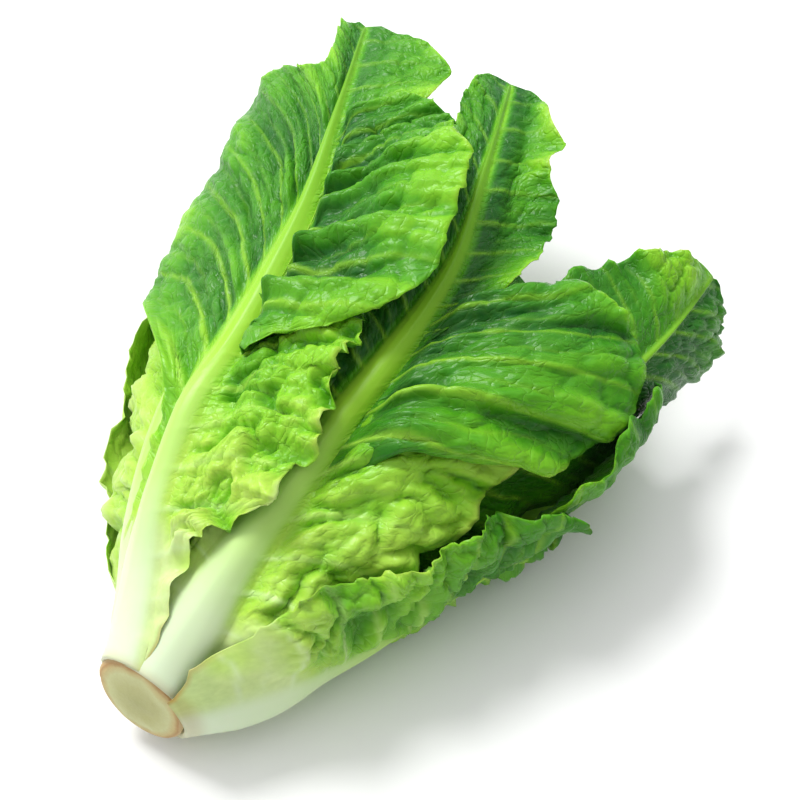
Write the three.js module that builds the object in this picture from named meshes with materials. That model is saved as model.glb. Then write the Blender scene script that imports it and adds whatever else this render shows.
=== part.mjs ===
// A head of romaine lettuce lying on its side: a short cut stem and the leaves that grow round it.
//
// Units are millimetres. While it is built, the head's axis runs along +X from the cut face of the
// stem (x = 0) towards the leaf tips, +Y is the head's left side and +Z is up. At the end the whole
// head is moved so that the origin is at the middle of its underside.
//
// Every leaf is laid on a "shell", a tapering tube round the axis whose cross-section is the
// flattened oval that a head takes when it lies on a table. A place on a leaf is
//   s      distance along the head's axis
//   angle  turn round the axis: 0 is left, 90 is up, 180 is right and 270 is down
//   radius distance from the axis
// The leaves are laid from the heart outwards. Each is pushed out until it clears what is already
// there, so that every leaf is a solid of its own and none touches another.
import * as THREE from "three";

const DEG = Math.PI / 180;

// ---- driving dimensions ----
const HEAD_LENGTH = 292; // cut face to the longest leaf tip
const STEM_RADIUS = 19.5; // of the cut face
const STEM_RIM = 3.6; // thickness of the round disc that shows below the leaves
const CORE_RADIUS = 10; // of the stem inside the leaf bases
const CORE_LENGTH = 62;
const CORE_GAP = 0.6; // between the core and the leaf bases
const BLADE = 0.9; // thickness of a leaf blade
const CLEARANCE = 0.8;
const REST_FLAT = 3.6; // how far the lowest ribs are pressed flat by the weight of the head

// ---- the shell: its size at even steps along the head, from the cut face to the tips ----
const SHELL = {
  left: [20, 44, 68, 88, 98, 100, 96], // half width on the left
  right: [20, 42, 64, 83, 94, 98, 96], // half width on the right
  axis: [25, 33, 38.5, 41, 42, 42, 40], // height of the axis over the table
  top: [20, 30, 38, 40, 41, 40, 36], // from the axis up to the top of the shell
  below: [20, 26, 35, 42, 44, 44, 41], // from the axis down to the underside
  topPower: 2, // an ellipse above
  belowPower: 3, // squarer below, where the head lies on the table
};

// Smooth curve through evenly spaced values, read at u from 0 to 1.
function curve(values, u) {
  const last = values.length - 1;
  const at = Math.min(Math.max(u, 0), 1) * last;
  const i = Math.min(Math.floor(at), last - 1);
  const t = at - i;
  const b = values[i];
  const c = values[i + 1];
  const a = i > 0 ? values[i - 1] : 2 * b - c;
  const d = i + 2 <= last ? values[i + 2] : 2 * c - b;
  return b + 0.5 * t * (c - a + t * (2 * a - 5 * b + 4 * c - d + t * (3 * (b - c) + d - a)));
}

const along = (s) => s / HEAD_LENGTH;
const axisHeight = (s) => curve(SHELL.axis, along(s));

// Distance from the axis to the shell in one direction.
function shellRadius(s, angle) {
  const u = along(s);
  const y = Math.cos(angle);
  const z = Math.sin(angle);
  const wide = curve(y > 0 ? SHELL.left : SHELL.right, u);
  const high = curve(z > 0 ? SHELL.top : SHELL.below, u);
  const power = z > 0 ? SHELL.topPower : SHELL.belowPower;
  return Math.pow(Math.pow(Math.abs(y) / wide, power) + Math.pow(Math.abs(z) / high, power), -1 / power);
}

const MOST_WRAP = 125 * DEG; // a margin never reaches further round the head than this

// The turn reached by walking a distance along the shell's outline from a starting turn.
function walk(s, share, start, distance) {
  const step = 2 * DEG * Math.sign(distance);
  let angle = start;
  let left = Math.abs(distance);
  let radius = share * shellRadius(s, angle);
  while (left > 0 && Math.abs(angle - start) < MOST_WRAP) {
    const next = share * shellRadius(s, angle + step);
    const gone = Math.hypot(next - radius * Math.cos(step), radius * Math.sin(step));
    if (gone >= left) return angle + (step * left) / gone;
    left -= gone;
    angle += step;
    radius = next;
  }
  return angle;
}

// ---- one leaf ----
// rib: its height and sideways place along its length; low and high: the blade's width on the side
// towards smaller and larger angles; lowLift and highLift: how far each margin stands off the shell.
const RIB_HALF_WIDTH = [17, 12.5, 9, 6.5, 4.2, 2.6, 1.4];
const RIB_THICKNESS = [3, 5, 4.6, 3.6, 2.6, 1.9, 1.3];
const SWEEP = [0, 0.35, 0.6, 0.7, 0.7, 0.6, 0.35]; // how far the side veins run forward for each mm they run out
const ROUND_TIP = 0.16; // share of the leaf's length over which its tip rounds off

const tipRound = (u) => Math.sqrt(Math.max(0, 1 - Math.pow(Math.max(0, (u - 1 + ROUND_TIP) / ROUND_TIP), 2)));

// Places across a half blade, from the rib's middle to the margin: two on the rib, the rest on the blade.
function acrossHalf(width, rib, count) {
  const edge = Math.min(rib, width * 0.8);
  const places = [0, edge * 0.5, edge];
  for (let i = 1; i <= count; i++) places.push(edge + ((width - edge) * i) / count);
  return places;
}

// The middle surface of a leaf as rows of points, each { s, angle, radius, q, rib, thick }.
function leafSurface(leaf, rows, bladeColumns) {
  const surface = [];
  for (let i = 0; i <= rows; i++) {
    const u = Math.sin((i / rows) * Math.PI * 0.5) * 0.35 + (i / rows) * 0.65; // closer rows near the tip
    const s = leaf.from + (leaf.to - leaf.from) * u;
    const y = curve(leaf.y, u);
    const z = curve(leaf.z, u) - axisHeight(s);
    const start = Math.atan2(z, y);
    const share = Math.hypot(y, z) / shellRadius(s, start);
    const round = Math.max(tipRound(u), 0.12);
    const rib = curve(RIB_HALF_WIDTH, u) * leaf.ribScale * Math.min(1, round * 1.5);
    const thick = BLADE + (curve(RIB_THICKNESS, u) * leaf.ribScale - BLADE) * round;
    const row = [];
    for (const side of [-1, 1]) {
      const width = Math.max(curve(side < 0 ? leaf.low : leaf.high, u) * round, rib + 1.5);
      const lift = curve(side < 0 ? leaf.lowLift : leaf.highLift, u);
      const bulge = curve(side < 0 ? leaf.lowBulge : leaf.highBulge, u);
      const places = acrossHalf(width, rib, bladeColumns);
      const half = places.slice(side < 0 ? 1 : 0).map((q) => {
        const t = q / width;
        const angle = walk(s, share, start, side * Math.max(q, 1e-6));
        const forward = s + curve(SWEEP, u) * q;
        const radius = share * shellRadius(forward, angle) + lift * t * t + bulge * Math.sin(Math.PI * t);
        const crown = Math.pow(Math.max(0, 1 - Math.pow(q / rib, 2)), 2);
        return { s: forward, angle, radius, thick: BLADE + (thick - BLADE) * crown };
      });
      if (side < 0) half.reverse();
      row.push(...half);
    }
    surface.push(row);
  }
  return surface;
}

// ---- laying the leaves on each other ----
// How far out the head reaches so far, on a grid over s and angle.
const GRID_S = 2.5;
const GRID_ANGLE = 2.5 * DEG;
const CELLS_S = Math.ceil((HEAD_LENGTH + 30) / GRID_S);
const CELLS_ANGLE = Math.round((2 * Math.PI) / GRID_ANGLE);
const reach = new Float64Array(CELLS_S * CELLS_ANGLE);

function cell(s, angle) {
  const i = Math.min(Math.max(Math.round(s / GRID_S), 0), CELLS_S - 1);
  const j = ((Math.round(angle / GRID_ANGLE) % CELLS_ANGLE) + CELLS_ANGLE) % CELLS_ANGLE;
  return i * CELLS_ANGLE + j;
}

// ---- the two faces of a leaf ----
const KEEL = 0.72; // share of a rib's thickness that stands outside the blade

const place = ({ s, angle, radius }) =>
  new THREE.Vector3(s, radius * Math.cos(angle), axisHeight(s) + radius * Math.sin(angle));

// The outer or the inner face of a leaf, as rows of points.
function face(surface, isOuter) {
  const points = surface.map((row) => row.map(place));
  const rows = points.length;
  const columns = points[0].length;
  return points.map((row, i) =>
    row.map((point, j) => {
      const ds = points[Math.min(i + 1, rows - 1)][j].clone().sub(points[Math.max(i - 1, 0)][j]);
      const dt = points[i][Math.min(j + 1, columns - 1)].clone().sub(points[i][Math.max(j - 1, 0)]);
      const offset = surface[i][j].thick * (isOuter ? KEEL : KEEL - 1);
      return point.clone().addScaledVector(dt.cross(ds).normalize(), offset);
    }),
  );
}

// Calls visit(s, angle, radius, i, j) for points spread closely over the facets of a face.
function overFace(rows, visit) {
  const fine = 12;
  const point = new THREE.Vector3();
  for (let i = 0; i + 1 < rows.length; i++)
    for (let j = 0; j + 1 < rows[i].length; j++)
      for (let a = 0; a <= fine; a++)
        for (let b = 0; b <= fine; b++) {
          const [p, q] = [a / fine, b / fine];
          point.set(0, 0, 0);
          point.addScaledVector(rows[i][j], (1 - p) * (1 - q)).addScaledVector(rows[i + 1][j], p * (1 - q));
          point.addScaledVector(rows[i][j + 1], (1 - p) * q).addScaledVector(rows[i + 1][j + 1], p * q);
          const z = point.z - axisHeight(point.x);
          visit(point.x, Math.atan2(z, point.y), Math.hypot(point.y, z), i, j);
        }
}

function pushOut(surface) {
  for (let round = 0; round < 4; round++) {
    const push = surface.map((row) => row.map(() => 0));
    overFace(face(surface, false), (s, angle, radius, i, j) => {
      const covered = reach[cell(s, angle)];
      if (!covered) return;
      const short = covered + CLEARANCE - radius;
      for (const [a, b] of [[i, j], [i + 1, j], [i, j + 1], [i + 1, j + 1]]) push[a][b] = Math.max(push[a][b], short);
    });
    surface.forEach((row, i) => row.forEach((point, j) => (point.radius += push[i][j])));
  }
}

function markReach(surface) {
  overFace(face(surface, true), (s, angle, radius) => {
    const k = cell(s, angle);
    reach[k] = Math.max(reach[k], radius);
  });
}

// ---- from surface to closed solid ----
function leafGeometry(surface) {
  const rows = surface.length;
  const columns = surface[0].length;
  const vertices = [face(surface, true), face(surface, false)].flat(2);
  const outer = (i, j) => i * columns + j;
  const inner = (i, j) => rows * columns + i * columns + j;
  const triangles = [];
  const quad = (a, b, c, d) => triangles.push(a, c, b, a, d, c);
  for (let i = 0; i + 1 < rows; i++)
    for (let j = 0; j + 1 < columns; j++) {
      quad(outer(i, j), outer(i + 1, j), outer(i + 1, j + 1), outer(i, j + 1));
      quad(inner(i, j), inner(i, j + 1), inner(i + 1, j + 1), inner(i + 1, j));
    }
  for (let i = 0; i + 1 < rows; i++) {
    quad(outer(i, 0), inner(i, 0), inner(i + 1, 0), outer(i + 1, 0));
    quad(outer(i, columns - 1), outer(i + 1, columns - 1), inner(i + 1, columns - 1), inner(i, columns - 1));
  }
  for (let j = 0; j + 1 < columns; j++) {
    quad(outer(0, j), outer(0, j + 1), inner(0, j + 1), inner(0, j));
    quad(outer(rows - 1, j), inner(rows - 1, j), inner(rows - 1, j + 1), outer(rows - 1, j + 1));
  }
  const geometry = new THREE.BufferGeometry().setFromPoints(vertices);
  geometry.setIndex(triangles);
  return geometry;
}

// ---- the leaves, from the heart outwards ----
const FLAT = [0, 0, 0, 0, 0, 0, 0]; // a margin that lies on the shell all the way along
const HEART_LEAVES = 13;
const GOLDEN_ANGLE = 137.5; // degrees from one leaf to the next round the stem

// A heart leaf stands on its own smaller shell and follows the spiral in which a lettuce grows.
function heartLeaf(n) {
  const age = n / (HEART_LEAVES - 1); // 0 is the innermost, 1 the oldest
  const turn = n * GOLDEN_ANGLE * DEG;
  const share = 0.14 + 0.58 * age;
  const from = 48 - 32 * age;
  const to = 150 + 82 * age - 10 * Math.sin(turn);
  const y = [];
  const z = [];
  for (let i = 0; i <= 6; i++) {
    const s = from + ((to - from) * i) / 6;
    const close = 0.78 + 0.22 * Math.min(1, i / 2); // the bases sit closer together than the blades
    const radius = share * shellRadius(s, turn) * close * (1 - 0.1 * Math.pow(i / 6, 3));
    y.push(radius * Math.cos(turn));
    z.push(axisHeight(s) + radius * Math.sin(turn));
  }
  const width = (base, middle, tip) => [base, base * 1.1, middle * 0.6, middle * 0.9, middle, middle * 0.92, tip];
  const half = width(5 + 5 * age, 16 + 26 * age, 10 + 14 * age);
  return {
    from,
    to,
    y,
    z,
    low: half,
    high: half,
    lowLift: FLAT,
    highLift: FLAT,
    lowBulge: FLAT,
    highBulge: FLAT,
    ribScale: 0.42 + 0.3 * age,
  };
}

// The outer leaves, drawn at even stations from base to tip.
const OUTER_LEAVES = {
  leaf_under_middle: {
    from: 14, to: 250, ribScale: 0.85,
    y: [1, 0, -2, -4, -6, -7, -8],
    z: [12, 5.5, 3.5, 3, 3, 4, 6],
    low: [10, 18, 34, 50, 56, 44, 16], high: [10, 18, 34, 50, 56, 44, 16],
    lowLift: FLAT, highLift: FLAT, lowBulge: FLAT, highBulge: FLAT,
  },
  leaf_right: {
    from: 12, to: 268, ribScale: 0.9,
    y: [-10, -31, -50, -69, -85, -93, -94],
    z: [28, 44, 53, 58, 60, 58, 50],
    low: [10, 14, 24, 34, 40, 34, 14], high: [10, 14, 26, 34, 40, 34, 14],
    lowLift: FLAT, highLift: [0, 0, 0, 2, 4, 6, 2], lowBulge: FLAT, highBulge: FLAT,
  },
  leaf_left: {
    from: 12, to: 240, ribScale: 0.9,
    y: [14, 36, 56, 71, 82, 88, 88],
    z: [28, 40, 46, 48, 48, 48, 46],
    low: [10, 22, 36, 42, 42, 34, 14], high: [10, 16, 26, 34, 38, 32, 14],
    lowLift: [0, 10, 12, 6, 2, 0, 0], highLift: FLAT, lowBulge: FLAT, highBulge: FLAT,
  },
  leaf_top: {
    from: 6, to: 292, ribScale: 1,
    y: [-5, -8, -12, -15, -13, 1, 18],
    z: [42, 60, 74, 80, 82, 82, 72],
    low: [12, 14, 24, 34, 36, 28, 10],
    high: [12, 28, 38, 50, 60, 66, 66, 60, 26, 24, 22, 17, 8],
    lowLift: FLAT, highLift: [0, 4, 8, 12, 16, 18, 19, 19, 2, 0, 0, 0, 0],
    lowBulge: FLAT, highBulge: [0, 2, 4, 8, 10, 10, 10, 8, -2, -6, -6, -3, 0],
  },
  leaf_under_left: {
    from: 8, to: 236, ribScale: 0.95,
    y: [9, 28, 46, 60, 70, 76, 78],
    z: [14, 9, 6, 7, 9, 12, 16],
    low: [12, 20, 36, 48, 52, 40, 16], high: [12, 18, 28, 36, 40, 32, 14],
    lowLift: FLAT, highLift: FLAT, lowBulge: FLAT, highBulge: FLAT,
  },
  leaf_far_right: {
    from: 8, to: 208, ribScale: 0.95,
    y: [-10, -28, -45, -60, -72, -80, -86],
    z: [15, 12, 9, 9, 12, 17, 22],
    low: [10, 16, 22, 28, 32, 28, 12], high: [12, 18, 28, 36, 38, 30, 12],
    lowLift: FLAT, highLift: FLAT, lowBulge: FLAT, highBulge: FLAT,
  },
  leaf_low_right: {
    from: 4.5, to: 158, ribScale: 1,
    y: [-17, -29, -41, -51, -60, -68, -76],
    z: [20, 18, 18, 20, 23, 27, 31],
    low: [16, 26, 32, 34, 34, 28, 12], high: [10, 14, 18, 20, 20, 16, 10],
    lowLift: [0, 2, 4, 5, 5, 4, 0], highLift: FLAT, lowBulge: FLAT, highBulge: FLAT,
  },
  leaf_top_left: {
    from: 4.5, to: 286, ribScale: 1.05,
    y: [13, 27, 38, 44, 53, 68, 86],
    z: [40, 57, 70, 76, 79, 79, 70],
    low: [13, 15, 36, 64, 76, 58, 18], high: [14, 26, 42, 50, 54, 40, 18],
    lowLift: [0, 0, 6, 14, 13, 6, 0], highLift: [0, 6, 14, 20, 22, 18, 4],
    lowBulge: FLAT, highBulge: FLAT,
  },
};

// ---- the stem ----
// A round disc with the cut face, then a core that follows the axis and narrows inside the leaf bases.
const coreRadius = (s) => CORE_RADIUS * (1 - 0.6 * Math.pow(s / CORE_LENGTH, 1.5));

function stemGeometry() {
  const profile = [
    [0, 0],
    [STEM_RADIUS - 1.6, 0],
    [STEM_RADIUS - 0.4, 0.6],
    [STEM_RADIUS, 1.8],
    [STEM_RADIUS - 0.3, STEM_RIM],
  ];
  for (const share of [0.08, 0.3, 0.55, 0.8, 0.97])
    profile.push([coreRadius(share * CORE_LENGTH) - CORE_GAP, share * CORE_LENGTH]);
  profile.push([0, CORE_LENGTH]);
  const geometry = new THREE.LatheGeometry(profile.map(([radius, s]) => new THREE.Vector2(radius, s)), 32);
  geometry.rotateZ(-Math.PI / 2); // the lathe's own axis is Y
  const position = geometry.attributes.position;
  for (let i = 0; i < position.count; i++) position.setZ(i, position.getZ(i) + axisHeight(position.getX(i)));
  return geometry;
}

const material = (name, color, roughness) => new THREE.MeshStandardMaterial({ name, color, roughness, metalness: 0 });
const STEM = material("stem", "#d9d3a4", 0.6);
const HEART = material("heart leaf", "#b9dc6a", 0.5);
const OUTER = material("outer leaf", "#4f9d2c", 0.45);

const head = new THREE.Group();

function addLeaf(name, leaf, rows, bladeColumns, skin) {
  const surface = leafSurface(leaf, rows, bladeColumns);
  pushOut(surface);
  markReach(surface);
  const mesh = new THREE.Mesh(leafGeometry(surface), skin);
  mesh.name = name;
  head.add(mesh);
}

const stem = new THREE.Mesh(stemGeometry(), STEM);
stem.name = "stem";
head.add(stem);

// The core is what the innermost leaves lie on.
for (let s = 0; s < CORE_LENGTH; s += GRID_S / 2)
  for (let angle = 0; angle < 2 * Math.PI; angle += GRID_ANGLE) {
    const k = cell(s, angle);
    reach[k] = Math.max(reach[k], coreRadius(s));
  }

for (let n = 0; n < HEART_LEAVES; n++) addLeaf(`heart_leaf_${n + 1}`, heartLeaf(n), 8, 2, HEART);
for (const [name, leaf] of Object.entries(OUTER_LEAVES)) addLeaf(name, leaf, 13, 3, OUTER);

// Stand the head on the table: press the lowest ribs flat and put the origin under its middle.
function settle(group) {
  group.updateMatrixWorld(true);
  const low = new THREE.Box3().setFromObject(group).min.z + REST_FLAT;
  group.traverse((mesh) => {
    if (!mesh.isMesh || mesh === stem) return;
    const position = mesh.geometry.attributes.position;
    for (let i = 0; i < position.count; i++) position.setZ(i, Math.max(position.getZ(i), low));
    mesh.geometry.computeBoundingBox();
  });
  const box = new THREE.Box3().setFromObject(group);
  const middle = box.getCenter(new THREE.Vector3());
  group.position.set(-middle.x, -middle.y, -box.min.z);
}
settle(head);

export default head;
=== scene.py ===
# %% [markdown]
# # A head of romaine lettuce
#
# This lesson builds one head of romaine (cos) lettuce, lying on its side on a white table. The
# head is a short stem and about twenty leaves. Each leaf is a sheet of soft tissue with a thick,
# pale rib down its middle, and the leaves wrap round each other like the shells of an onion.
#
# Leaves could be sculpted by hand or simulated as cloth. Here each one is a grid of points that is
# laid on the leaves under it, because on a grid the rib, the side veins, the blisters between them
# and the frilled margin are each one short function of the place on the leaf.

# %% Load the frame
import math

import bpy
import numpy as np
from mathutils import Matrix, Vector


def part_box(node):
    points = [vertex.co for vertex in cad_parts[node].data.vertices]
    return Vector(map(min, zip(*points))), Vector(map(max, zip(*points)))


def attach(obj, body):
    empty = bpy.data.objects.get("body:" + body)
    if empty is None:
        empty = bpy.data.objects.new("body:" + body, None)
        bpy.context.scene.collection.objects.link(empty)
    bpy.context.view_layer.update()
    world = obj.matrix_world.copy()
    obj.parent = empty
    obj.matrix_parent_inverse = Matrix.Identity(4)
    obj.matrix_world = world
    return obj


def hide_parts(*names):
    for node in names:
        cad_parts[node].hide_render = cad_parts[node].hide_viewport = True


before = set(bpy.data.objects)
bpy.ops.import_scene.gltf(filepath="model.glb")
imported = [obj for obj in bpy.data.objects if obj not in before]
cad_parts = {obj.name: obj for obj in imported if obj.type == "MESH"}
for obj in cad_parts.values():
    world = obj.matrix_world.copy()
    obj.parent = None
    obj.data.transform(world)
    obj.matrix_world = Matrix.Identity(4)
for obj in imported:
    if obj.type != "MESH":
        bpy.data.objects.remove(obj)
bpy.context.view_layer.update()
MM = 0.001
stem_low, stem_high = (np.array(corner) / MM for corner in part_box("stem"))

# %% [markdown]
# ## Smooth change along a leaf
#
# Nearly every measure of a leaf, such as the width of its rib, changes smoothly from base to tip.
# Blender's curve objects could hold such a measure, but a spline through a few listed values is
# shorter and works on whole arrays of points at once.

# %% A curve through a few values
FLAT = [0, 0]


def curve(values, u):
    """A smooth curve through evenly spaced values, read at u from 0 to 1."""
    v = np.asarray(values, float)
    v = np.concatenate([[2 * v[0] - v[1]], v, [2 * v[-1] - v[-2]]])
    at = np.clip(u, 0, 1) * (len(values) - 1)
    i = np.minimum(np.asarray(at).astype(int), len(values) - 2)
    t = at - i
    a, b, c, d = v[i], v[i + 1], v[i + 2], v[i + 3]
    return b + 0.5 * t * (c - a + t * (2 * a - 5 * b + 4 * c - d + t * (3 * (b - c) + d - a)))


def smooth(low, high, x):
    """Rises from 0 to 1, without a kink, as x goes from low to high."""
    t = np.clip((x - low) / (high - low), 0, 1)
    return t * t * (3 - 2 * t)


print("between 0, 4 and 2 the curve passes", np.round(curve([0, 4, 2], np.array([0.25, 0.75])), 2))

# %% [markdown]
# ## Places on the head
#
# The easiest way to say where a leaf lies is to follow the head's own growth. `s` is the distance
# in millimetres from the cut face of the stem towards the tips, `angle` turns round the head's axis
# (0 is left, 90 degrees is up, 180 is right) and `radius` is the distance from the axis. A lying
# head is flattened by its own weight, so its cross-section, the shell, is an oval with a flatter
# underside. The tables hold its size at even steps along the head.

# %% The head's axis and shell
AXIS_FROM_TABLE = 28.0  # height of the stem's centre
HEAD_LENGTH = 292.0
SHELL_LEFT = [20, 44, 68, 88, 98, 100, 96]
SHELL_RIGHT = [20, 42, 64, 83, 94, 98, 96]
SHELL_AXIS = [25, 33, 38.5, 41, 42, 42, 40]
SHELL_TOP = [20, 30, 38, 40, 41, 40, 36]
SHELL_BELOW = [20, 26, 35, 42, 44, 44, 41]
ROUND, SQUARE = 2.0, 3.0  # powers of the oval above and below the axis
origin = np.array([stem_low[0], (stem_low[1] + stem_high[1]) / 2, AXIS_FROM_TABLE - SHELL_AXIS[0]])


def axis_height(s):
    return curve(SHELL_AXIS, s / HEAD_LENGTH)


def shell_radius(s, angle):
    """Distance from the axis to the shell."""
    u = s / HEAD_LENGTH
    y, z = np.cos(angle), np.sin(angle)
    wide = np.where(y > 0, curve(SHELL_LEFT, u), curve(SHELL_RIGHT, u))
    high = np.where(z > 0, curve(SHELL_TOP, u), curve(SHELL_BELOW, u))
    power = np.where(z > 0, ROUND, SQUARE)
    return ((np.abs(y) / wide) ** power + (np.abs(z) / high) ** power) ** (-1 / power)


def place(s, angle, radius):
    """Points in millimetres in the frame of the row."""
    y = radius * np.cos(angle)
    z = axis_height(s) + radius * np.sin(angle)
    return np.stack([s, y, z], -1) + origin


print("the stem's cut face is centred on", np.round(place(0.0, 0.0, 0.0), 1), "mm")

# %% [markdown]
# ## Waves without a pattern
#
# Nothing on a leaf repeats exactly. Blender's texture nodes hold good noises, but they only reach
# the material, and here the shape needs them. So this is value noise in numpy: random values on a
# grid, blended smoothly in between.

# %% Smooth noise
WAVES = np.random.default_rng(7).uniform(-1, 1, (8, 64, 64))


def noise(x, y, seed=0):
    """Smooth noise between -1 and 1 that changes over a distance of about 1."""
    i, j = np.floor(x).astype(int), np.floor(y).astype(int)
    fx, fy = x - i, y - j
    fx, fy = fx * fx * (3 - 2 * fx), fy * fy * (3 - 2 * fy)
    layer, shift = WAVES[seed % 8], 13 * (seed // 8)
    i0, i1 = (i + shift) % 64, (i + 1 + shift) % 64
    j0, j1 = j % 64, (j + 1) % 64
    low = layer[i0, j0] * (1 - fx) + layer[i1, j0] * fx
    high = layer[i0, j1] * (1 - fx) + layer[i1, j1] * fx
    return low * (1 - fy) + high * fy


print("noise at a few places", np.round(noise(np.arange(4) / 3, np.zeros(4)), 2))

# %% [markdown]
# ## Blisters
#
# Between the small veins the soft tissue swells into blisters with sharp creases between them.
# Distances to scattered points, as in a Voronoi texture, give just such rounded cells.

# %% Cell noise
JITTER = np.random.default_rng(11).uniform(0.1, 0.9, (2, 64, 64))


def cells(x, y, seed=0):
    """Distances to the nearest and the second nearest of points scattered about 1 apart."""
    i, j = np.floor(x).astype(int), np.floor(y).astype(int)
    near = np.full(x.shape, 9.0)
    second = near.copy()
    for a in (-1, 0, 1):
        for b in (-1, 0, 1):
            ci, cj = (i + a + 5 * seed) % 64, (j + b + 3 * seed) % 64
            gap = np.hypot(i + a + JITTER[0, ci, cj] - x, j + b + JITTER[1, ci, cj] - y)
            second = np.minimum(second, np.maximum(near, gap))
            near = np.minimum(near, gap)
    return near, second


def domes(x, y, seed):
    """Rounded swellings with sharp creases between them, about 1 apart, from 0 to 1."""
    near, second = cells(x, y, seed)
    return 0.55 * np.clip(1 - near**2, 0, 1) + 0.45 * smooth(0.0, 0.3, second - near)


print("domes at a few places", np.round(domes(np.arange(4) / 3, np.zeros(4), 0), 2))

# %% [markdown]
# ## The rib
#
# The rib is the leaf's backbone. In romaine it is about 35 mm wide at the base of the leaf, nearly
# 6 mm thick a third of the way up, and a thread at the tip. A leaf's table gives the line of its rib
# as seen from the stem, sideways (`y`) and above the table (`z`). The blade is then laid out by
# walking from the rib round the shell.

# %% The line of the rib
RIB_WIDTH = [18, 14.5, 11, 8, 5, 2.8, 1.2]  # half the width of the rib
RIB_DEPTH = [3.2, 5.5, 5.8, 5.0, 3.6, 2.4, 1.4]
WALK = np.radians(np.arange(0, 131, 2.0))  # how far round the shell one side can reach


def rib_line(leaf, p):
    """Where the rib is at a distance p from the cut face: its turn and its share of the shell."""
    start, end = leaf["reach"]
    u = (p - start) / (end - start)
    y = curve(leaf["y"], u)
    z = curve(leaf["z"], u) - axis_height(p)
    turn = np.arctan2(z, y)
    return u, turn, np.hypot(y, z) / shell_radius(p, turn)


def half_row(leaf, p, side, q):
    """Angles reached by walking distances q from the rib round the shell."""
    _, turn, share = rib_line(leaf, p)
    steps = turn + side * WALK
    radius = share * shell_radius(p, steps)
    gone = np.hypot(np.diff(radius * np.cos(steps)), np.diff(radius * np.sin(steps)))
    return np.interp(q, np.concatenate([[0], np.cumsum(gone)]), steps)


print("the rib narrows from", 2 * RIB_WIDTH[0], "to", 2 * RIB_WIDTH[-1], "mm")

# %% [markdown]
# ## The margin
#
# A romaine leaf ends in shallow scallops about 10 mm long, with small teeth every few millimetres.
# Both are added to the width of the leaf, so that they are real shape and show in the silhouette.

# %% The margin's scallops and teeth
SCALLOP, SLOW_SCALLOP, TOOTH = 10.0, 25.0, 3.2  # lengths along the margin


def outline(sheet, p, v):
    """Distance from the rib to the margin. Widths are at even stations or in (p, width) pairs."""
    width = sheet["width"]
    if isinstance(width[0], tuple):
        at, wide = zip(*width)
        width = sum(np.interp(p + d, at, wide) for d in (-3, -1, 1, 3)) / 4
    else:
        width = curve(width, v)
    seed = sheet.get("seed", 1)
    ragged = sheet.get("ragged", 1.0) * smooth(19, 30, width)
    scallop = 3.4 * noise(p / SCALLOP, 0 * p, seed + 1) + 1.5 * noise(p / SLOW_SCALLOP, 0 * p, seed + 2)
    tooth = 2.2 * np.maximum(noise(p / TOOTH, 0 * p, seed), 0) ** 1.3
    return np.maximum(width + ragged * (scallop + tooth), 1.0)


def tip_narrowing(leaf, u):
    """How a whole leaf rounds off at its tip, from 1 down to nearly 0."""
    round_from = leaf.get("round_from", 0.86)
    into_tip = np.clip((u - round_from) / (1 - round_from), 0, 1)
    return np.sqrt(np.clip(1 - into_tip**2, 0.004, 1))


print("scallops are", SCALLOP, "mm long and teeth", TOOTH, "mm")

# %% [markdown]
# ## One sheet of leaf
#
# A sheet is a grid of points: its rows follow the side veins out from the rib, and its columns run
# along the leaf. Side veins leave the rib at a slant, towards the tip, and then bend outwards, so
# each row is swept forward near the rib. A flat grid bent by a modifier would not do this, because
# the rows of a real leaf fan out.
#
# A whole leaf is one sheet across the rib. A lobe that folds out over the rest of its leaf is a
# sheet of its own, which starts under the side of the rib.

# %% Half a sheet
RIB_COLUMNS = 7
SWEEP = [0, 0.5, 0.85, 1.0, 1.0, 0.85, 0.5]  # millimetres forward for each millimetre out
BOW = 45.0  # side veins bend outwards over about this distance
TRAITS = {"pucker": 1, "frill": 1, "pleat": 0, "tone": 0}  # what varies along a sheet, and its usual value
UNDER_RIB = 0.55  # a lobe starts at this share of the rib's half width


def columns_out(rib, width, columns, whole):
    """Distances from the rib's middle line to each point of each row."""
    inner = np.minimum(rib, 0.8 * width)[:, None]
    width = width[:, None]
    if not whole:
        return UNDER_RIB * inner + (width - UNDER_RIB * inner) * np.linspace(0, 1, columns)
    on_rib = inner * np.linspace(0, 1, RIB_COLUMNS + 1)
    on_blade = inner + (width - inner) * np.linspace(0, 1, columns + 1)[1:]
    return np.concatenate([on_rib, on_blade], 1)


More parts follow.
